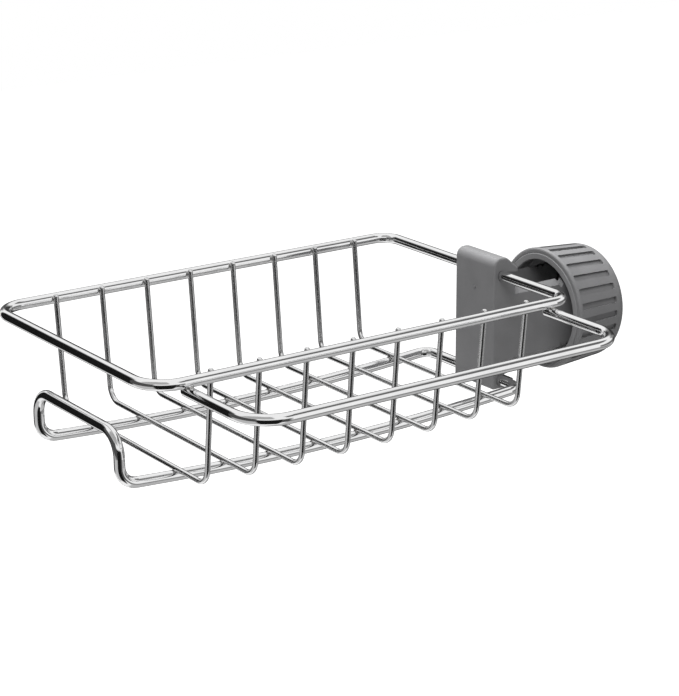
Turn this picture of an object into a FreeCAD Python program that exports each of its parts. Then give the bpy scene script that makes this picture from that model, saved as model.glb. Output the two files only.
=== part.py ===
import FreeCAD, Part
import math
import os
import re
import Sketcher
from FreeCAD import Vector

# A wire sponge basket that clamps to an upright round pipe.
# The origin is on the pipe's axis, half way between the two wires that the bracket holds.
# X runs along the clamp's screw, away from the basket; the towel rail is at the front, towards -Y; Z is up.
SIZES = {
    # wires
    "frame_wire_diameter": 5.2,
    "cross_wire_diameter": 2.6,
    "weld_sink": 0.4,
    # rim, measured on the wire's centre line
    "rim_length": 230.0,
    "rim_width": 146.0,
    "rim_corner_radius": 15.0,
    "rim_clamp_radius": 9.5,
    # towel rail
    "rail_reach": 51.5,
    "rail_left_inset": 18.3,
    "rail_right_inset": 11.0,
    "rail_tail": 4.0,
    "rail_tip_radius": 1.2,
    "rail_bend_radius": 17.0,
    # base, its depth measured between the two floor runs
    "basket_drop": 54.2,
    "base_depth": 75.0,
    "floor_slope": 3.8,
    "base_corner_radius": 6.5,
    "base_straight": 4.0,
    "base_inset": 2.9,
    "base_rise": 23.2,
    "rise_top_radius": 11.0,
    "rise_bend_radius": 9.0,
    # cross wires
    "cross_wire_count": 8,
    "cross_wire_first": 31.2,
    "cross_wire_last": 23.9,
    "cross_wire_stub": 0.2,
    "cross_wire_tip_radius": 1.0,
    "cross_wire_bend_radius": 8.0,
    "leg_lean": 5.2,
    # pipe and clamp bracket
    "pipe_diameter": 24.0,
    "clamp_offset": 7.2,
    "plate_thickness": 13.8,
    "plate_wall": 2.2,
    "plate_foot": 2.0,
    "wire_fit": 0.1,
    "mouth_gap": 4.2,
    "mouth_flare": 0.6,
    "cut_over": 1.0,
    "hook_height": 9.1,
    "hook_ridge": 7.8,
    "hook_ridge_radius": 5.4,
    "hook_inner_radius": 4.4,
    "lip_top": 2.4,
    "lip_reach": 1.8,
    "lip_thickness": 1.9,
    "lip_tip_radius": 1.4,
    "plate_corner_radius": 1.5,
    "plate_edge_radius": 1.2,
    "gate_mark_diameter": 1.4,
    "gate_mark_height": 0.3,
    "gate_mark_up": 18.8,
    "boss_web": 2.4,
    "thread_diameter": 45.0,
    "thread_pitch": 4.0,
    "thread_depth": 1.0,
    "thread_crest": 1.2,
    "thread_root": 0.8,
    "thread_lead": 1.4,
    "arm_length": 33.0,
    "arm_thickness": 3.2,
    "slot_clearance": 0.3,
    # rubber saddle
    "pad_thickness": 3.0,
    "pad_height": 30.0,
    "pad_trim": 4.0,
    "pad_fit": 0.05,
    # grip washer
    "washer_thickness": 2.3,
    "washer_clearance": 2.9,
    "washer_width": 3.3,
    "washer_edge_radius": 0.5,
    "washer_fit": 0.2,
    # nut
    "nut_length": 33.1,
    "nut_setback": 0.3,
    "nut_wall": 2.55,
    "nut_shoulder": 2.9,
    "nut_taper": 4.06,
    "nut_end_radius": 6.0,
    "nut_lip_radius": 1.2,
    "nut_end_wall": 3.0,
    "nut_hollow": 6.0,
    "thread_clearance": 0.3,
    "washer_gap": 0.1,
    "groove_count": 26,
    "groove_width": 3.3,
    "groove_depth": 1.2,
    "groove_start": 1.8,
    "groove_margin": 6.9,
    "groove_end_radius": 0.9,
}

# How near two places are the same place.
TOUCH = 0.01

# Places worked out from the sizes, each written once.
PLACES = {
    "frame_r": "frame_wire_diameter / 2",
    "cross_r": "cross_wire_diameter / 2",
    "pipe_r": "pipe_diameter / 2",
    "weld_step": "frame_r + cross_r - weld_sink",
    "half_width": "rim_width / 2",
    "half_drop": "basket_drop / 2",
    "half_depth": "base_depth / 2",
    # along X
    "plate_outer_x": "-(pipe_r + pad_thickness + boss_web)",
    "plate_inner_x": "plate_outer_x - plate_thickness",
    "end_wire_x": "plate_inner_x + plate_wall + wire_fit + frame_r",
    "slot_half": "pipe_r + slot_clearance",
    "half_plate": "slot_half + arm_thickness",
    "slot_centre_x": "slot_half - pipe_r - pad_thickness",
    "washer_back_x": "pipe_r + washer_thickness",
    "nut_open_x": "pipe_r + nut_setback",
    "nut_shoulder_x": "washer_back_x + washer_gap",
    "nut_bore_x": "nut_shoulder_x + nut_hollow",
    "nut_end_x": "nut_open_x + nut_length",
    # base, in the basket's own frame: the end bar is at x = 0 and the rim's centre line at z = 0
    "base_end_x": "base_inset - rim_length",
    "base_end_z": "-basket_drop - base_inset * tan(floor_slope)",
    "run_end": "base_corner_radius + base_straight",
    "run_end_x": "-run_end * cos(floor_slope)",
    "run_end_z": "-basket_drop - run_end * sin(floor_slope)",
    "dip_z": "-basket_drop - rim_length / 2 * tan(floor_slope)",
    "dip_radius": "(rim_length / 2 / cos(floor_slope) - run_end - base_straight) / tan(floor_slope)",
    "dip_centre_z": "dip_z + dip_radius / cos(floor_slope)",
    "rise_start_z": "-basket_drop + base_rise / 2",
    # towel rail and cross wires, in the same frame
    "rail_z": "weld_sink - frame_wire_diameter",
    "rail_left_x": "rail_left_inset - rim_length",
    "leg_y": "half_width - weld_step",
    "leg_top": "frame_r + cross_wire_stub",
    "cross_wire_pitch": "(rim_length - cross_wire_first - cross_wire_last) / (cross_wire_count - 1)",
    # bracket
    "plate_foot_z": "-(half_drop + frame_r + wire_fit + plate_foot)",
    "lip_x": "plate_outer_x + lip_reach",
    "lip_under_z": "(half_drop + lip_top - lip_thickness)",
    "thread_slope": "(thread_pitch - thread_crest - thread_root) / 2",
    "thread_wedge": "cut_over * thread_slope / thread_depth",
    # nut and washer, outwards from the thread
    "thread_r": "thread_diameter / 2",
    "nut_bore_r": "thread_r + thread_clearance",
    "washer_bore_r": "thread_r + washer_clearance",
    "washer_r": "washer_bore_r + washer_width",
    "nut_mouth_r": "washer_r + washer_fit",
    "nut_hollow_r": "nut_mouth_r - nut_shoulder",
    "nut_open_r": "nut_mouth_r + nut_wall",
    "nut_end_r": "nut_open_r - nut_length * tan(nut_taper)",
    "groove_stop": "nut_length - groove_margin",
}


def tie(text):
    """Turns size and place names in an expression into references to the sheet."""
    def swap(match):
        word = match[0]
        if word in PLACES:
            return "(" + tie(PLACES[word]) + ")"
        return "sizes." + word if word in SIZES else word
    return re.sub(r"[a-z][a-z_0-9]*", swap, str(text))


def number(text):
    """The value that an expression has now."""
    return float(sheet.evalExpression(tie(text)))


def bind(thing, path, text):
    """Sets a property of a document object from an expression."""
    thing.setExpression(path, tie(text))


def fresh_body(name):
    """A new body, and its three origin planes by role."""
    body = doc.addObject("PartDesign::Body", name)
    body.Label = name
    planes = {feature.Role: feature for feature in body.Origin.OriginFeatures}
    return body, planes


def fresh_sketch(body, planes, name, role, offset=None):
    """A sketch on one of the body's origin planes, moved along the plane's normal by an expression."""
    sketch = body.newObject("Sketcher::SketchObject", name)
    sketch.AttachmentSupport = [(planes[role], "")]
    sketch.MapMode = "FlatFace"
    if offset is not None:
        bind(sketch, "AttachmentOffset.Base.z", offset)
    return sketch


def hold(sketch, *constraint, size=None):
    """Adds a constraint, and binds its value where a size is given."""
    if size is None:
        return sketch.addConstraint(Sketcher.Constraint(*constraint))
    index = sketch.addConstraint(Sketcher.Constraint(*constraint, number(size)))
    bind(sketch, f"Constraints[{index}]", size)
    return index


def hold_point(sketch, shape, vertex, across, up):
    """Holds one point of a sketch at two expressions, from the sketch's origin."""
    for kind, axis, size in (("DistanceX", -2, across), ("DistanceY", -1, up)):
        if size == "0":
            hold(sketch, "PointOnObject", shape, vertex, axis)
        else:
            hold(sketch, kind, -1, 1, shape, vertex, size=size)


def draw_circle(sketch, across, up, radius):
    """A circle whose centre and radius are expressions."""
    centre = Vector(number(across), number(up), 0)
    circle = sketch.addGeometry(Part.Circle(centre, Vector(0, 0, 1), number(radius)), False)
    hold_point(sketch, circle, 3, across, up)
    hold(sketch, "Radius", circle, size=radius)


def draw_outline(sketch, corners, closed=True):
    """Straight runs between corners, with a tangent arc at each corner that has a radius.

    Each corner is (across, up, radius), all expressions; a radius of None leaves it sharp.
    """
    count = len(corners)
    places = [Vector(number(across), number(up), 0) for across, up, radius in corners]
    ways = [(places[(i + 1) % count] - places[i]).normalize() for i in range(count)]
    rounded = [corner[2] is not None and (closed or 0 < i < count - 1) for i, corner in enumerate(corners)]

    def bend(i):
        """Half of a corner's turn, its radius, and how far from the corner the arc begins."""
        before, after = ways[i - 1], ways[i]
        turn = before.getAngle(after)
        radius = number(corners[i][2])
        return turn, radius, radius * math.tan(turn / 2)

    lines = []
    for i in range(count if closed else count - 1):
        j = (i + 1) % count
        start = places[i] + ways[i] * (bend(i)[2] if rounded[i] else 0)
        stop = places[j] - ways[i] * (bend(j)[2] if rounded[j] else 0)
        lines.append(sketch.addGeometry(Part.LineSegment(start, stop), False))

    for i in range(count):
        across, up, radius = corners[i]
        into = lines[i - 1] if closed or i > 0 else None
        out = lines[i] if i < len(lines) else None
        if not rounded[i]:
            if into is not None and out is not None:
                hold(sketch, "Coincident", into, 2, out, 1)
            hold_point(sketch, *((out, 1) if out is not None else (into, 2)), across, up)
            continue
        turn, size, reach = bend(i)
        left = ways[i - 1].cross(ways[i]).z > 0
        side = Vector(-ways[i - 1].y, ways[i - 1].x, 0) * (1 if left else -1)
        centre = places[i] - ways[i - 1] * reach + side * size
        begin = math.atan2(-side.y, -side.x)
        sweep = turn if left else -turn
        low, high = (begin, begin + sweep) if left else (begin + sweep, begin)
        ring = Part.Circle(centre, Vector(0, 0, 1), size)
        arc = sketch.addGeometry(Part.ArcOfCircle(ring, low, high), False)
        enter, leave = (1, 2) if left else (2, 1)
        hold(sketch, "Tangent", into, 2, arc, enter)
        hold(sketch, "Tangent", arc, leave, out, 1)
        hold(sketch, "Radius", arc, size=radius)
        corner = sketch.addGeometry(Part.Point(places[i]), True)
        hold_point(sketch, corner, 1, across, up)
        hold(sketch, "PointOnObject", corner, 1, into)
        hold(sketch, "PointOnObject", corner, 1, out)


def sweep_wire(body, name, section, path):
    """A round wire swept along a path."""
    pipe = body.newObject("PartDesign::AdditivePipe", name)
    pipe.Profile = section
    pipe.Spine = (path, [f"Edge{i + 1}" for i in range(len(path.Shape.Edges))])
    doc.recompute()
    return pipe


def seat_basket(body):
    """Puts a body that is drawn in the basket's own frame where the bracket holds the basket."""
    bind(body, "Placement.Base.x", "end_wire_x")
    bind(body, "Placement.Base.y", "clamp_offset")
    bind(body, "Placement.Base.z", "half_drop")


def tilt(sketch, axis, angle, x=None, y=None, z=None):
    """Turns a sketch about an axis of its plane, and moves it, all by expressions."""
    sketch.AttachmentOffset = FreeCAD.Placement(Vector(), FreeCAD.Rotation(axis, number(angle)))
    bind(sketch, "AttachmentOffset.Rotation.Angle", angle)
    for coordinate, place in (("x", x), ("y", y), ("z", z)):
        if place is not None:
            bind(sketch, f"AttachmentOffset.Base.{coordinate}", place)
    doc.recompute()


def mirror(body, planes, name, halves):
    """Mirrors features front to back, and makes the result the body's own shape."""
    copy = body.newObject("PartDesign::Mirrored", name)
    copy.Originals = halves
    copy.MirrorPlane = (planes["XZ_Plane"], [""])
    body.Tip = copy
    doc.recompute()
    return copy


def through(body, kind, name, sketch, length):
    """A pad or pocket that runs equally to both sides of its sketch."""
    feature = body.newObject(kind, name)
    feature.Profile = sketch
    feature.SideType = "Symmetric"
    bind(feature, "Length", length)
    doc.recompute()
    return feature


def spin(body, name, profile):
    """A solid of revolution about the clamp's screw axis."""
    turned = body.newObject("PartDesign::Revolution", name)
    turned.Profile = profile
    turned.ReferenceAxis = (profile, ["H_Axis"])
    turned.Angle = 360
    doc.recompute()
    return turned


def round_edges(body, name, base, radius, chosen):
    """Rounds those edges of a feature whose middle the test chooses."""
    names = [f"Edge{i + 1}" for i, edge in enumerate(base.Shape.Edges) if chosen(edge.CenterOfMass)]
    feature = body.newObject("PartDesign::Fillet", name)
    feature.Base = (base, names)
    bind(feature, "Radius", radius)
    doc.recompute()


def draw_flatted_circle(sketch, radius, half_flat):
    """A circle about the sketch's origin, cut by two upright flats."""
    size, half = number(radius), number(half_flat)
    up = math.sqrt(size ** 2 - half ** 2)
    round_edge = Part.Circle(Vector(), Vector(0, 0, 1), size)
    start = math.atan2(up, half)
    top = sketch.addGeometry(Part.ArcOfCircle(round_edge, start, math.pi - start), False)
    bottom = sketch.addGeometry(Part.ArcOfCircle(round_edge, math.pi + start, 2 * math.pi - start), False)
    left = sketch.addGeometry(Part.LineSegment(Vector(-half, up, 0), Vector(-half, -up, 0)), False)
    right = sketch.addGeometry(Part.LineSegment(Vector(half, -up, 0), Vector(half, up, 0)), False)
    for arc in (top, bottom):
        hold(sketch, "Coincident", arc, 3, -1, 1)
        hold(sketch, "Radius", arc, size=radius)
    hold(sketch, "Coincident", top, 2, left, 1)
    hold(sketch, "Coincident", left, 2, bottom, 1)
    hold(sketch, "Coincident", bottom, 2, right, 1)
    hold(sketch, "Coincident", right, 2, top, 1)
    hold(sketch, "Vertical", left)
    hold(sketch, "Vertical", right)
    hold(sketch, "DistanceX", -1, 1, right, 1, size=half_flat)
    hold(sketch, "DistanceX", left, 1, -1, 1, size=half_flat)


def cut(name, base, tool):
    """The base less the tool."""
    result = doc.addObject("Part::Cut", name)
    result.Label = name
    result.Base = base
    result.Tool = tool
    return result


def make_rim():
    """The closed rim: a rounded rectangle of thick wire, bent tighter at the clamp's end."""
    body, planes = fresh_body("rim_frame")
    path = fresh_sketch(body, planes, "rim_path", "XY_Plane")
    draw_outline(path, [
        ("0", "-half_width", "rim_clamp_radius"),
        ("0", "half_width", "rim_clamp_radius"),
        ("-rim_length", "half_width", "rim_corner_radius"),
        ("-rim_length", "-half_width", "rim_corner_radius"),
    ])
    section = fresh_sketch(body, planes, "rim_section", "XZ_Plane", "half_width - rim_clamp_radius")
    draw_circle(section, "0", "0", "frame_r")
    doc.recompute()
    sweep_wire(body, "rim_wire", section, path)
    seat_basket(body)
    return body


def make_base():
    """The base loop: dipping floor runs, an end bar in the bracket, and a raised bar at the far end.

    The front half is swept in three flat stretches and mirrored.
    """
    body, planes = fresh_body("base_frame")
    rise_path = fresh_sketch(body, planes, "rise_path", "YZ_Plane", "base_end_x")
    draw_outline(rise_path, [
        ("0", "base_rise - basket_drop", None),
        ("-half_depth", "base_rise - basket_drop", "rise_top_radius"),
        ("-half_depth", "rise_start_z", None),
    ], closed=False)
    rise_section = fresh_sketch(body, planes, "rise_section", "XZ_Plane")
    draw_circle(rise_section, "base_end_x", "base_rise - basket_drop", "frame_r")

    run_path = fresh_sketch(body, planes, "run_path", "XZ_Plane", "half_depth")
    draw_outline(run_path, [
        ("base_end_x", "rise_start_z", None),
        ("base_end_x", "base_end_z", "rise_bend_radius"),
        ("-rim_length / 2", "dip_z", "dip_radius"),
        ("run_end_x", "run_end_z", None),
    ], closed=False)
    run_section = fresh_sketch(body, planes, "run_section", "XY_Plane", "rise_start_z")
    draw_circle(run_section, "base_end_x", "-half_depth", "frame_r")

    # the end bar and its corner lie in a plane tilted to meet the run's slope
    end_path = fresh_sketch(body, planes, "end_path", "XY_Plane")
    tilt(end_path, Vector(0, -1, 0), "floor_slope", z="-basket_drop")
    draw_outline(end_path, [
        ("0", "0", None),
        ("0", "-half_depth", "base_corner_radius"),
        ("-run_end", "-half_depth", None),
    ], closed=False)
    end_section = fresh_sketch(body, planes, "end_section", "XZ_Plane")
    draw_circle(end_section, "0", "-basket_drop", "frame_r")
    doc.recompute()

    halves = [
        sweep_wire(body, "rise_wire", rise_section, rise_path),
        sweep_wire(body, "run_wire", run_section, run_path),
        sweep_wire(body, "end_wire", end_section, end_path),
    ]
    mirror(body, planes, "back_half", halves)
    seat_basket(body)
    return body


def make_rail(rim):
    """The towel rail: a wide U of thick wire, welded under the rim's front run."""
    body, planes = fresh_body("towel_rail_stock")
    path = fresh_sketch(body, planes, "rail_path", "XY_Plane", "rail_z")
    draw_outline(path, [
        ("rail_left_x", "rail_tail - half_width", None),
        ("rail_left_x", "-half_width - rail_reach", "rail_bend_radius"),
        ("-rail_right_inset", "-half_width - rail_reach", "rail_bend_radius"),
        ("-rail_right_inset", "rail_tail - half_width", None),
    ], closed=False)
    section = fresh_sketch(body, planes, "rail_section", "XZ_Plane", "half_width - rail_tail")
    draw_circle(section, "rail_left_x", "rail_z", "frame_r")
    doc.recompute()
    rail = sweep_wire(body, "rail_wire", section, path)
    round_edges(body, "rail_tips", rail, "rail_tip_radius",
                lambda centre: abs(centre.y - number("rail_tail - half_width")) < TOUCH)
    seat_basket(body)
    return cut("towel_rail", body, rim)


def make_cross_wire(index):
    """One thin U wire: its legs lie inside the rim, its floor on the base, each in a welded seat."""
    name = f"cross_wire_{index + 1}"
    body, planes = fresh_body(name)
    place = f"(cross_wire_first + {index} * cross_wire_pitch - rim_length)"
    from_dip = f"({place} + rim_length / 2)"
    run = f"(dip_centre_z - sqrt(dip_radius ^ 2 - {from_dip} ^ 2))"
    floor = f"({run} + weld_step)"
    path = fresh_sketch(body, planes, name + "_path", "YZ_Plane", place)
    draw_outline(path, [
        ("0", floor, None),
        ("leg_lean - leg_y", floor, "cross_wire_bend_radius"),
        (f"leg_lean * leg_top / {floor} - leg_y", "leg_top", None),
    ], closed=False)
    section = fresh_sketch(body, planes, name + "_section", "XZ_Plane")
    draw_circle(section, place, floor, "cross_r")
    doc.recompute()
    half = sweep_wire(body, name + "_half", section, path)
    whole = mirror(body, planes, name + "_back", [half])
    round_edges(body, name + "_tips", whole, "cross_wire_tip_radius",
                lambda centre: abs(centre.z - number("leg_top")) < TOUCH)

    # the rim's runs are level here, and the base's runs follow their dip
    rim_seats = fresh_sketch(body, planes, name + "_rim_seats", "YZ_Plane", place)
    base_seats = fresh_sketch(body, planes, name + "_base_seats", "YZ_Plane")
    rising = number(from_dip) > 0
    slope = f"asin({from_dip} / dip_radius)" if rising else f"asin(-{from_dip} / dip_radius)"
    tilt(base_seats, Vector(-1 if rising else 1, 0, 0), slope, y=run, z=place)
    for seats, across in ((rim_seats, "half_width"), (base_seats, "half_depth")):
        for sign in ("", "-"):
            draw_circle(seats, sign + across, "0", "frame_r")
        through(body, "PartDesign::Pocket", seats.Name + "_cut", seats, "2 * frame_wire_diameter")
    seat_basket(body)
    return body


def make_bracket():
    """The clamp bracket: a hooked plate that snaps over the two end wires, and two arms for the nut."""
    body, planes = fresh_body("clamp_bracket")
    outline = fresh_sketch(body, planes, "plate_outline", "XZ_Plane")
    draw_outline(outline, [
        ("plate_inner_x", "plate_foot_z", "plate_corner_radius"),
        ("plate_outer_x", "plate_foot_z", "plate_corner_radius"),
        ("plate_outer_x", "half_drop - 2 * mouth_gap", "plate_corner_radius"),
        ("lip_x", "half_drop + lip_top", "lip_tip_radius"),
        ("plate_inner_x + hook_ridge", "half_drop + hook_height", "hook_ridge_radius"),
        ("plate_inner_x", "half_drop + hook_height", "hook_inner_radius"),
    ])
    plate = through(body, "PartDesign::Pad", "plate", outline, "2 * half_plate")
    round_edges(body, "plate_soft_edges", plate, "plate_edge_radius",
                lambda centre: abs(abs(centre.y) - number("half_plate")) < TOUCH)

    # the boss starts inside the plate, so that its flats run on from the plate's sides
    boss = fresh_sketch(body, planes, "boss_outline", "YZ_Plane", "end_wire_x")
    draw_flatted_circle(boss, "thread_r", "half_plate")
    arms = body.newObject("PartDesign::Pad", "arms")
    arms.Profile = boss
    bind(arms, "Length", "arm_length - end_wire_x")
    doc.recompute()

    # the ends are coned, and the thread starts half way along the pipe's slot
    lead = fresh_sketch(body, planes, "thread_lead_outline", "XZ_Plane")
    draw_outline(lead, [
        ("arm_length - thread_lead - cut_over", "thread_r + cut_over", None),
        ("arm_length + cut_over", "thread_r + cut_over", None),
        ("arm_length + cut_over", "thread_r - thread_lead - cut_over", None),
    ])
    doc.recompute()
    cone = body.newObject("PartDesign::Groove", "thread_lead")
    cone.Profile = lead
    cone.ReferenceAxis = (lead, ["H_Axis"])
    cone.Angle = 360
    doc.recompute()
    tooth = fresh_sketch(body, planes, "thread_outline", "XZ_Plane")
    draw_outline(tooth, [
        ("pipe_r - thread_root / 2", "thread_r - thread_depth", None),
        ("pipe_r + thread_root / 2", "thread_r - thread_depth", None),
        ("pipe_r + thread_root / 2 + thread_slope + thread_wedge", "thread_r + cut_over", None),
        ("pipe_r - thread_root / 2 - thread_slope - thread_wedge", "thread_r + cut_over", None),
    ])
    doc.recompute()
    thread = body.newObject("PartDesign::SubtractiveHelix", "thread")
    thread.Profile = tooth
    thread.ReferenceAxis = (tooth, ["H_Axis"])
    thread.Mode = "pitch-height-angle"
    bind(thread, "Pitch", "thread_pitch")
    bind(thread, "Height", "arm_length - pipe_r + thread_pitch")
    doc.recompute()

    seats = fresh_sketch(body, planes, "wire_seats", "XZ_Plane")
    mouths = fresh_sketch(body, planes, "wire_mouths", "XZ_Plane")
    for sign in ("", "-"):
        draw_circle(seats, "end_wire_x", f"{sign}half_drop", "frame_r + wire_fit")
        draw_outline(mouths, [
            ("end_wire_x", f"{sign}(half_drop + mouth_gap / 2)", None),
            ("lip_x + cut_over", f"{sign}lip_under_z", None),
            ("lip_x + cut_over", f"{sign}(lip_under_z - mouth_gap - mouth_flare)", None),
            ("end_wire_x", f"{sign}(half_drop - mouth_gap / 2)", None),
        ])
    through(body, "PartDesign::Pocket", "wire_seat_cut", seats, "4 * half_plate")
    through(body, "PartDesign::Pocket", "wire_mouth_cut", mouths, "4 * half_plate")

    seat = fresh_sketch(body, planes, "slot_seat", "XY_Plane")
    draw_circle(seat, "slot_centre_x", "0", "slot_half")
    slot = fresh_sketch(body, planes, "slot_outline", "XY_Plane")
    draw_outline(slot, [
        ("slot_centre_x", "-slot_half", None),
        ("arm_length + cut_over", "-slot_half", None),
        ("arm_length + cut_over", "slot_half", None),
        ("slot_centre_x", "slot_half", None),
    ])
    through(body, "PartDesign::Pocket", "slot_seat_cut", seat, "2 * thread_diameter")
    through(body, "PartDesign::Pocket", "slot_cut", slot, "2 * thread_diameter")

    mark = fresh_sketch(body, planes, "gate_mark_outline", "YZ_Plane", "plate_inner_x")
    draw_circle(mark, "0", "gate_mark_up", "gate_mark_diameter / 2")
    gate = body.newObject("PartDesign::Pad", "gate_mark")
    gate.Profile = mark
    gate.Reversed = True
    bind(gate, "Length", "gate_mark_height")
    doc.recompute()
    return body


def make_saddle():
    """The rubber saddle: a crescent between the slot's round bottom and the pipe."""
    stock = doc.addObject("Part::Cylinder", "saddle_stock")
    bind(stock, "Radius", "slot_half - pad_fit")
    bind(stock, "Height", "pad_height")
    bind(stock, "Placement.Base.x", "slot_centre_x")
    bind(stock, "Placement.Base.z", "-pad_height / 2")
    pipe = doc.addObject("Part::Cylinder", "pipe_space")
    bind(pipe, "Radius", "pipe_r")
    bind(pipe, "Height", "2 * pad_height")
    bind(pipe, "Placement.Base.z", "-pad_height")
    tips = doc.addObject("Part::Box", "saddle_tips")
    bind(tips, "Length", "pipe_diameter")
    bind(tips, "Width", "2 * pipe_diameter")
    bind(tips, "Height", "2 * pad_height")
    bind(tips, "Placement.Base.x", "-pad_trim")
    bind(tips, "Placement.Base.y", "-pipe_diameter")
    bind(tips, "Placement.Base.z", "-pad_height")
    return cut("saddle_pad", cut("saddle_crescent", stock, pipe), tips)


def make_washer():
    """The grip washer: a flat ring in the nut's mouth, which bears on the pipe and doesn't turn."""
    body, planes = fresh_body("grip_washer")
    profile = fresh_sketch(body, planes, "washer_profile", "XZ_Plane")
    draw_outline(profile, [
        ("pipe_r", "washer_bore_r", "washer_edge_radius"),
        ("washer_back_x", "washer_bore_r", None),
        ("washer_back_x", "washer_r", None),
        ("pipe_r", "washer_r", "washer_edge_radius"),
    ])
    spin(body, "washer_ring", profile)
    return body


def make_nut():
    """The nut: a tapered hollow knob with a stepped mouth, and grooves round it up to its rounded end."""
    body, planes = fresh_body("clamp_nut")
    profile = fresh_sketch(body, planes, "nut_profile", "XZ_Plane")
    draw_outline(profile, [
        ("nut_open_x", "nut_mouth_r", None),
        ("nut_shoulder_x", "nut_mouth_r", None),
        ("nut_shoulder_x", "nut_hollow_r", None),
        ("nut_bore_x", "nut_hollow_r", None),
        ("nut_bore_x", "nut_bore_r", None),
        ("nut_end_x - nut_end_wall", "nut_bore_r", None),
        ("nut_end_x - nut_end_wall", "0", None),
        ("nut_end_x", "0", None),
        ("nut_end_x", "nut_end_r", "nut_end_radius"),
        ("nut_open_x", "nut_open_r", "nut_lip_radius"),
    ])
    spin(body, "nut_shell", profile)

    # the first groove is drawn on the plane that touches the taper along its front line
    groove = fresh_sketch(body, planes, "groove_outline", "XZ_Plane")
    tilt(groove, Vector(0, 1, 0), "nut_taper", x="nut_open_x", z="nut_open_r")
    draw_outline(groove, [
        ("groove_start", "-groove_width / 2", "groove_end_radius"),
        ("groove_stop", "-groove_width / 2", "groove_end_radius"),
        ("groove_stop", "groove_width / 2", "groove_end_radius"),
        ("groove_start", "groove_width / 2", "groove_end_radius"),
    ])
    first = body.newObject("PartDesign::Pocket", "groove")
    first.Profile = groove
    bind(first, "Length", "groove_depth")
    doc.recompute()
    ring = body.newObject("PartDesign::PolarPattern", "groove_ring")
    ring.Originals = [first]
    ring.Axis = (planes["X_Axis"], [""])
    ring.Angle = 360
    bind(ring, "Occurrences", "groove_count")
    body.Tip = ring
    doc.recompute()
    return body


doc = FreeCAD.newDocument("sponge_holder")
sheet = doc.addObject("Spreadsheet::Sheet", "sizes")
for row, (size_name, size_value) in enumerate(SIZES.items(), start=1):
    sheet.set(f"A{row}", size_name)
    sheet.set(f"B{row}", str(size_value))
    sheet.setAlias(f"B{row}", size_name)
doc.recompute()

rim_frame = make_rim()
base_frame = make_base()
pieces = [rim_frame, base_frame, make_rail(rim_frame)]
pieces += [make_cross_wire(index) for index in range(int(SIZES["cross_wire_count"]))]
pieces += [make_bracket(), make_saddle(), make_washer(), make_nut()]
doc.recompute()

for thing in doc.Objects:
    faults = [state for state in thing.State if state in ("Invalid", "Error")]
    if faults:
        raise RuntimeError(f"{thing.Label} is {faults}")
for piece in pieces:
    if piece.Shape.isNull() or not piece.Shape.isValid():
        raise RuntimeError(f"{piece.Label} has no valid shape")

os.makedirs("parts", exist_ok=True)
for piece in pieces:
    piece.Shape.exportStep(f"parts/{piece.Label}.step")
    print(f"{piece.Label}: {len(piece.Shape.Solids)} solid, {piece.Shape.Volume:.0f} mm3")
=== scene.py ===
import math

import bmesh
import bpy
from mathutils import Matrix, Vector


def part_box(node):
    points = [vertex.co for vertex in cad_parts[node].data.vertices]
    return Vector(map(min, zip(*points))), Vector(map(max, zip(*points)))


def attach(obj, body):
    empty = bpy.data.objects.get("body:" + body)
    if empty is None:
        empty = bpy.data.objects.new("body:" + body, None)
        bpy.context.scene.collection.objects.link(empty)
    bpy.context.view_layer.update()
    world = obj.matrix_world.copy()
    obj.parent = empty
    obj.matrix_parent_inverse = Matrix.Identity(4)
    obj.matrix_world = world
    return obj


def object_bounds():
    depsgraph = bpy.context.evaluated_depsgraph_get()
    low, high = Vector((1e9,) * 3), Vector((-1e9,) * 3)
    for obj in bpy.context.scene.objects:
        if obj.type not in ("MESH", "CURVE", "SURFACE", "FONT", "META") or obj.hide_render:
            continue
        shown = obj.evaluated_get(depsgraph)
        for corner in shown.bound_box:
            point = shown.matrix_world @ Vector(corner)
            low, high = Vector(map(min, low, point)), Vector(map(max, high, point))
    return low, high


# Looks of a wire sponge basket that clamps to an upright pipe. Lengths are in metres.
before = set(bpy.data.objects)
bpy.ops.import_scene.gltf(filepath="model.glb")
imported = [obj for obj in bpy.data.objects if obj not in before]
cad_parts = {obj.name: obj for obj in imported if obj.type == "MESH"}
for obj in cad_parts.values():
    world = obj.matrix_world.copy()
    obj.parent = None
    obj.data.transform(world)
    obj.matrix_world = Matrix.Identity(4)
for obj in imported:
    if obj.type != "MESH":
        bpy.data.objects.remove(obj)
cad_low, cad_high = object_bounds()
MM = 0.001

# The photograph's camera: where it stands, the direction from the part to it, its lens in mm, and how far it
# sees.
CAMERA_PLACE = Vector((-694.8, -826.9, 323.4)) * MM
CAMERA_AZIMUTH = math.radians(-35.09)
CAMERA_ELEVATION = math.radians(17.64)
CAMERA_ROLL = math.radians(-0.25)
SENSOR_WIDTH = 36.0
FOCAL_LENGTH = 116.8
CAMERA_FAR = 100.0

# Wires, read from the frame.
rim_low, rim_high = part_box("rim_frame")
base_low, base_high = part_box("base_frame")
rail_low, rail_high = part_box("towel_rail")
FRAME_R = (rim_high.z - rim_low.z) / 2
RIM_Z = (rim_high.z + rim_low.z) / 2
CROSS_WIRES = sorted(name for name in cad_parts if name.startswith("cross_wire"))
THICK_WIRES = ["rim_frame", "base_frame", "towel_rail"]
wire_low, wire_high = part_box(CROSS_WIRES[0])
CROSS_R = (wire_high.x - wire_low.x) / 2

# Welds: how far crossing wires sink into each other, the width of gap that a bead fills, how hollow the bead
# is, and how finely it is drawn.
WELD_SINK = 0.4 * MM
BEAD_GAP = 0.6 * MM
BEAD_HOLLOW = 0.35
BEAD_SPOKES = 28
BEAD_ROWS = 5
REACH_TOLERANCE = 0.001 * MM
# How far a thin wire's leg leans outwards between the base and the rim.
LEG_LEAN = 5.2 * MM

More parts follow.
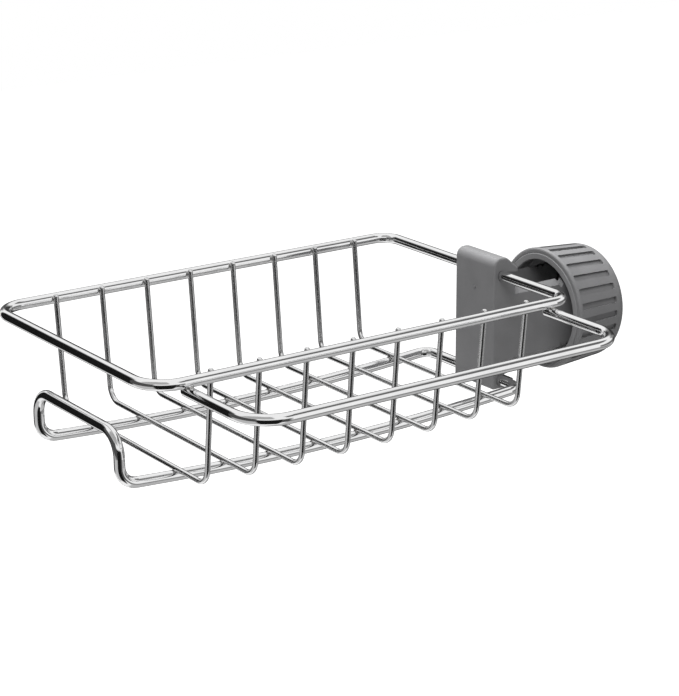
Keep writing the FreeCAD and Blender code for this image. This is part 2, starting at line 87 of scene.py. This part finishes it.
# Finishes: the haze is the steel's least roughness, and noises are used between these two heights.
THICK_HAZE = 0.07
THIN_HAZE = 0.18
NOISE_LOW = 0.3
NOISE_HIGH = 0.7

# Studio. Each lamp has its place from the part's middle, its width and its power in watts.
FLOOR_DROP = 1.1
FLOOR_HALF = 6.0
FLOOR_TONE = 0.9
FLOOR_GLOW = 0.80
LAMPS = {
    "key": (Vector((-0.6, -0.45, 1.35)), 0.9, 25),
    "back": (Vector((0.2, 0.72, 1.36)), 0.9, 48),
}
# The world is a white tent with dark sheets that gloss shows: range of azimuth and of elevation in degrees,
# and darkness. Azimuth 0 is towards -Y, and 90 towards +X.
WORLD_FILL = 0.42
SHEET_EDGE = 8.0
SHEETS = {
    "camera": ((-63, 4), (-65, 14), 0.99),
    "left_high": ((-136, -61), (-16, 29), 0.92),
    "left_low": ((-136, -61), (-65, -12), 0.45),
    "left_back": ((-172, -134), (-32, 30), 0.99),
    "left_back_top": ((-163, -132), (26, 37), 0.80),
    "right_low": ((44, 112), (-16, 6), 0.85),
    "window_head": ((20, 95), (33, 54), 0.86),
    "window_sill": ((20, 95), (-41, -19), 0.72),
    "ground": ((20, 155), (-92, -42), 0.48),
    "far_wall": ((100, 160), (-55, 24), 0.72),
    "far_door": ((116, 176), (-46, 18), 0.85),
    "beside_camera": ((2, 24), (-38, 10), 0.92),
    "above_camera": ((-110, -15), (32, 78), 0.55),
}


class Shader:
    """A material's node tree, with short ways to add nodes and join them."""

    def __init__(self, name):
        self.material = bpy.data.materials.new(name)
        self.material.use_nodes = True
        self.tree = self.material.node_tree
        self.surface = self.tree.nodes["Principled BSDF"]
        self.place = self.add("ShaderNodeTexCoord").outputs["Object"]

    def add(self, kind, inputs=(), **settings):
        """A node with its settings and its unlinked inputs."""
        node = self.tree.nodes.new(kind)
        for key, value in settings.items():
            setattr(node, key, value)
        for key, value in dict(inputs).items():
            node.inputs[key].default_value = value
        return node

    def join(self, source, target):
        self.tree.links.new(source, target)

    def set(self, **sockets):
        """Constants on the surface shader's own sockets."""
        for key, value in sockets.items():
            self.surface.inputs[key.replace("_", " ")].default_value = value

    def noise(self, size, detail=4.0, roughness=0.55):
        """Noise whose features are about this size."""
        node = self.add("ShaderNodeTexNoise", {"Scale": 1 / size, "Detail": detail, "Roughness": roughness})
        self.join(self.place, node.inputs["Vector"])
        return node.outputs["Fac"]

    def spread(self, source, low, high, target):
        """Maps the middle of a noise to a range, and joins it to a socket."""
        ends = {"From Min": NOISE_LOW, "From Max": NOISE_HIGH, "To Min": low, "To Max": high}
        node = self.add("ShaderNodeMapRange", ends)
        self.join(source, node.inputs["Value"])
        self.join(node.outputs["Result"], target)

    def tint(self, source, dark, light):
        """Mixes two colours by a noise into the base colour."""
        node = self.add("ShaderNodeValToRGB")
        first, last = node.color_ramp.elements
        first.position = NOISE_LOW
        first.color = (*dark, 1)
        last.position = NOISE_HIGH
        last.color = (*light, 1)
        self.join(source, node.inputs["Fac"])
        self.join(node.outputs["Color"], self.surface.inputs["Base Color"])

    def grain(self, source, strength, distance):
        """Bump from a height."""
        node = self.add("ShaderNodeBump", {"Strength": strength, "Distance": distance})
        self.join(source, node.inputs["Height"])
        self.join(node.outputs["Normal"], self.surface.inputs["Normal"])


def polished_steel(name, haze):
    """Drawn and polished stainless wire: near mirror, with a haze of this roughness and fine waviness."""
    shader = Shader(name)
    shader.set(Metallic=1.0)
    shader.tint(shader.noise(9 * MM), (0.80, 0.80, 0.805), (0.87, 0.87, 0.87))
    shader.spread(shader.noise(3 * MM), haze, haze + 0.05, shader.surface.inputs["Roughness"])
    shader.grain(shader.noise(6 * MM, detail=1), 0.015, 0.04 * MM)
    return shader.material


def weld_steel():
    """Steel that has flowed at a weld: a little rougher and browner than the wire."""
    shader = Shader("weld_steel")
    shader.set(Metallic=1.0)
    shader.tint(shader.noise(0.9 * MM), (0.42, 0.41, 0.39), (0.72, 0.715, 0.70))
    shader.spread(shader.noise(0.5 * MM), 0.16, 0.32, shader.surface.inputs["Roughness"])
    shader.grain(shader.noise(0.35 * MM), 0.35, 0.06 * MM)
    return shader.material


def moulded_plastic(name, dark, light, shine):
    """Satin moulded plastic: fine spark-eroded grain, faint flow clouds."""
    shader = Shader(name)
    shader.set(Specular_IOR_Level=0.42)
    shader.tint(shader.noise(14 * MM, detail=3), dark, light)
    shader.spread(shader.noise(2 * MM), shine, shine + 0.08, shader.surface.inputs["Roughness"])
    shader.grain(shader.noise(0.25 * MM, detail=2), 0.18, 0.05 * MM)
    return shader.material


def soft_rubber():
    """Matt black rubber."""
    shader = Shader("soft_rubber")
    shader.set(Specular_IOR_Level=0.3)
    shader.tint(shader.noise(5 * MM), (0.016, 0.016, 0.017), (0.030, 0.030, 0.031))
    shader.spread(shader.noise(1.5 * MM), 0.72, 0.86, shader.surface.inputs["Roughness"])
    shader.grain(shader.noise(0.3 * MM), 0.3, 0.08 * MM)
    return shader.material


def dress(node, material):
    """Gives a solid its finish. Its smooth faces and crisp edges come with it from the frame."""
    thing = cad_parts[node]
    thing.data.materials.clear()
    thing.data.materials.append(material)


def add_bead(mesh, at, along, out, other, radius, other_radius):
    """Adds the ring of weld metal round one crossing of two wires.

    The first wire's axis passes through at and runs along. Out points to the other wire, and other is the
    direction of that wire's axis.
    """
    across = out.cross(along)
    apart = radius + other_radius - WELD_SINK
    climb = other.dot(out) / math.sqrt(1 - other.dot(out) ** 2)
    way = Vector((other.dot(along), other.dot(across))).normalized()

    def surfaces(u, v):
        """Heights of the two facing surfaces above the first wire's axis."""
        beside = u * way.y - v * way.x
        near = math.sqrt(max(radius ** 2 - v ** 2, 0))
        under = math.sqrt(max(other_radius ** 2 - beside ** 2, 0)) * math.hypot(1, climb)
        return near, apart + climb * (u * way.x + v * way.y) - under

    def reach(u, v, gap):
        """How far out, in a direction, the surfaces stand this far apart."""
        inner, outer = 0.0, radius
        while outer - inner > REACH_TOLERANCE:
            trial = (inner + outer) / 2
            near, far = surfaces(u * trial, v * trial)
            if far - near < gap:
                inner = trial
            else:
                outer = trial
        return inner

    rings = []
    for spoke in range(BEAD_SPOKES):
        angle = math.tau * spoke / BEAD_SPOKES
        u, v = math.cos(angle), math.sin(angle)
        root, edge = reach(u, v, 0), reach(u, v, BEAD_GAP)
        near, far = surfaces(u * edge, v * edge)
        profile = [(root, surfaces(u * root, v * root)[0])]
        for row in range(BEAD_ROWS + 1):
            rise = row / BEAD_ROWS
            hollow = BEAD_HOLLOW * (edge - root) * math.sin(math.pi * rise)
            profile.append((edge - hollow, near + (far - near) * rise))
        rings.append([mesh.verts.new(at + (along * u + across * v) * r + out * h) for r, h in profile])
    for spoke, ring in enumerate(rings):
        last = rings[spoke - 1]
        for row in range(len(ring)):
            face = mesh.faces.new((last[row - 1], ring[row - 1], ring[row], last[row]))
            face.smooth = True
        for row in (0, 1, len(ring) - 1):
            mesh.edges.get((last[row], ring[row])).smooth = False


def weld_beads(name, crossings, material):
    """One piece from the beads of several crossings."""
    mesh = bmesh.new()
    for crossing in crossings:
        add_bead(mesh, *crossing)
    bmesh.ops.recalc_face_normals(mesh, faces=mesh.faces)
    data = bpy.data.meshes.new(name)
    mesh.to_mesh(data)
    mesh.free()
    data.materials.append(material)
    piece = bpy.data.objects.new(name, data)
    bpy.context.scene.collection.objects.link(piece)
    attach(piece, "holder")


def make_welds():
    """The beads where thin wires meet the rim and the base, and where the rail meets the rim."""
    x_axis, y_axis, z_axis = Matrix.Identity(3)
    boxes = [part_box(name) for name in CROSS_WIRES]
    places = [(low.x + high.x) / 2 for low, high in boxes]
    floors = [low.z + CROSS_R for low, high in boxes]
    rim_crossings = []
    base_crossings = []
    for i, (x, floor) in enumerate(zip(places, floors)):
        before, after = max(i - 1, 0), min(i + 1, len(places) - 1)
        slope = math.atan2(floors[after] - floors[before], places[after] - places[before])
        run = Vector((math.cos(slope), 0, math.sin(slope)))
        upright = Vector((-math.sin(slope), 0, math.cos(slope)))
        run_z = floor - (FRAME_R + CROSS_R - WELD_SINK)
        for side, rim_y, base_y in ((-1, rim_low.y + FRAME_R, base_low.y + FRAME_R),
                                    (1, rim_high.y - FRAME_R, base_high.y - FRAME_R)):
            leg = Vector((0, side * LEG_LEAN, RIM_Z - floor)).normalized()
            rim_crossings.append((Vector((x, rim_y, RIM_Z)), x_axis, -side * y_axis, leg, FRAME_R, CROSS_R))
            base_crossings.append((Vector((x, base_y, run_z)), run, upright, y_axis, FRAME_R, CROSS_R))

    rail_crossings = [
        (Vector((x, rim_low.y + FRAME_R, RIM_Z)), x_axis, -z_axis, y_axis, FRAME_R, FRAME_R)
        for x in (rail_low.x + FRAME_R, rail_high.x - FRAME_R)
    ]
    bead_steel = weld_steel()
    weld_beads("rim_welds", rim_crossings, bead_steel)
    weld_beads("base_welds", base_crossings, bead_steel)
    weld_beads("rail_welds", rail_crossings, bead_steel)


def place_camera():
    """The camera at the photograph's angle."""
    data = bpy.data.cameras.new("photo_camera")
    data.sensor_fit = "HORIZONTAL"
    data.sensor_width = SENSOR_WIDTH
    data.lens = FOCAL_LENGTH
    data.clip_end = CAMERA_FAR
    camera = bpy.data.objects.new("photo_camera", data)
    bpy.context.scene.collection.objects.link(camera)
    level = Vector((math.cos(CAMERA_AZIMUTH), math.sin(CAMERA_AZIMUTH), 0))
    outward = Vector((level.y, -level.x, 0))
    back = outward * math.cos(CAMERA_ELEVATION) + Vector((0, 0, math.sin(CAMERA_ELEVATION)))
    right = Matrix.Rotation(CAMERA_ROLL, 3, back) @ level
    turn = Matrix((right, back.cross(right), back)).transposed().to_4x4()
    camera.matrix_world = Matrix.Translation(CAMERA_PLACE) @ turn
    bpy.context.scene.camera = camera


def math_node(tree, operation, *values):
    """A math node whose inputs are numbers or sockets."""
    node = tree.nodes.new("ShaderNodeMath")
    node.operation = operation
    for socket, value in zip(node.inputs, values):
        if isinstance(value, (int, float)):
            socket.default_value = value
        else:
            tree.links.new(value, socket)
    return node.outputs["Value"]


def seen_white(tree):
    """1 for rays from the camera, from gloss and through glass, which see the plain white surround."""
    path = tree.nodes.new("ShaderNodeLightPath").outputs
    shiny = math_node(tree, "MAXIMUM", path["Is Glossy Ray"], path["Is Transmission Ray"])
    return math_node(tree, "MAXIMUM", path["Is Camera Ray"], shiny)


def soft_band(tree, angle, low, high):
    """1 where an angle lies in a range, with soft edges."""
    def ramp(edge, rising):
        node = tree.nodes.new("ShaderNodeMapRange")
        node.interpolation_type = "SMOOTHSTEP"
        node.inputs["From Min"].default_value = edge - SHEET_EDGE / 2
        node.inputs["From Max"].default_value = edge + SHEET_EDGE / 2
        node.inputs["To Min"].default_value = 0.0 if rising else 1.0
        node.inputs["To Max"].default_value = 1.0 if rising else 0.0
        tree.links.new(angle, node.inputs["Value"])
        return node.outputs["Result"]
    return math_node(tree, "MULTIPLY", ramp(low, True), ramp(high, False))


def make_world():
    """A white tent with dark sheets that gloss shows. Its fill light is plain and weaker."""
    world = bpy.data.worlds.new("studio")
    bpy.context.scene.world = world
    world.use_nodes = True
    tree = world.node_tree
    split = tree.nodes.new("ShaderNodeSeparateXYZ")
    tree.links.new(tree.nodes.new("ShaderNodeTexCoord").outputs["Generated"], split.inputs["Vector"])
    x, y, z = split.outputs
    azimuth = math_node(tree, "DEGREES", math_node(tree, "ARCTAN2", x, math_node(tree, "MULTIPLY", y, -1)))
    elevation = math_node(tree, "DEGREES", math_node(tree, "ARCSINE", z))
    shine = 1.0
    for across, up, darkness in SHEETS.values():
        column = soft_band(tree, azimuth, *across)
        row = soft_band(tree, elevation, *up)
        sheet = math_node(tree, "MULTIPLY", column, row)
        clear = math_node(tree, "SUBTRACT", 1.0, math_node(tree, "MULTIPLY", sheet, darkness))
        shine = math_node(tree, "MULTIPLY", clear, shine)
    path = tree.nodes.new("ShaderNodeLightPath").outputs
    level = tree.nodes.new("ShaderNodeMapRange")
    level.inputs["To Min"].default_value = WORLD_FILL
    level.inputs["To Max"].default_value = 1.0
    tree.links.new(seen_white(tree), level.inputs["Value"])
    gloss = math_node(tree, "MULTIPLY", path["Is Glossy Ray"], math_node(tree, "SUBTRACT", 1.0, shine))
    strength = math_node(tree, "SUBTRACT", level.outputs["Result"], gloss)
    background = tree.nodes["Background"]
    background.inputs["Color"].default_value = (1, 1, 1, 1)
    tree.links.new(strength, background.inputs["Strength"])


def make_floor():
    """A wide pale floor, well below the basket."""
    mesh = bpy.data.meshes.new("floor")
    z = cad_low.z - FLOOR_DROP
    corners = [(-FLOOR_HALF, -FLOOR_HALF, z), (FLOOR_HALF, -FLOOR_HALF, z),
               (FLOOR_HALF, FLOOR_HALF, z), (-FLOOR_HALF, FLOOR_HALF, z)]
    mesh.from_pydata(corners, [], [(0, 1, 2, 3)])
    floor = bpy.data.objects.new("floor", mesh)
    bpy.context.scene.collection.objects.link(floor)
    shader = Shader("floor")
    shader.set(Base_Color=(FLOOR_TONE, FLOOR_TONE, FLOOR_TONE, 1), Roughness=0.9, Specular_IOR_Level=0.0)
    shader.set(Emission_Color=(1, 1, 1, 1))
    glow = math_node(shader.tree, "MULTIPLY", seen_white(shader.tree), FLOOR_GLOW)
    shader.join(glow, shader.surface.inputs["Emission Strength"])
    mesh.materials.append(shader.material)
    floor.visible_glossy = False


def soft_lamp(name, place, aim, size, power):
    """A square soft lamp that gloss does not show: the wires mirror the tent alone."""
    data = bpy.data.lights.new(name, "AREA")
    data.shape = "SQUARE"
    data.size = size
    data.energy = power
    lamp = bpy.data.objects.new(name, data)
    bpy.context.scene.collection.objects.link(lamp)
    lamp.location = place
    lamp.rotation_euler = (aim - place).to_track_quat("-Z", "Y").to_euler()
    lamp.visible_glossy = False


thick_steel = polished_steel("thick_steel", THICK_HAZE)
for wire in THICK_WIRES:
    dress(wire, thick_steel)
thin_steel = polished_steel("thin_steel", THIN_HAZE)
for wire in CROSS_WIRES:
    dress(wire, thin_steel)
dress("clamp_bracket", moulded_plastic("bracket_plastic", (0.14, 0.14, 0.143), (0.16, 0.16, 0.163), 0.36))
dress("clamp_nut", moulded_plastic("knob_plastic", (0.14, 0.14, 0.143), (0.16, 0.16, 0.163), 0.45))
dress("grip_washer", moulded_plastic("washer_plastic", (0.16, 0.16, 0.163), (0.18, 0.18, 0.183), 0.40))
dress("saddle_pad", soft_rubber())
make_welds()

place_camera()
make_world()
make_floor()
middle = (cad_low + cad_high) / 2
for lamp_name, (offset, width, watts) in LAMPS.items():
    soft_lamp(lamp_name, middle + offset, middle, width, watts)
bpy.context.scene.view_settings.view_transform = "Standard"
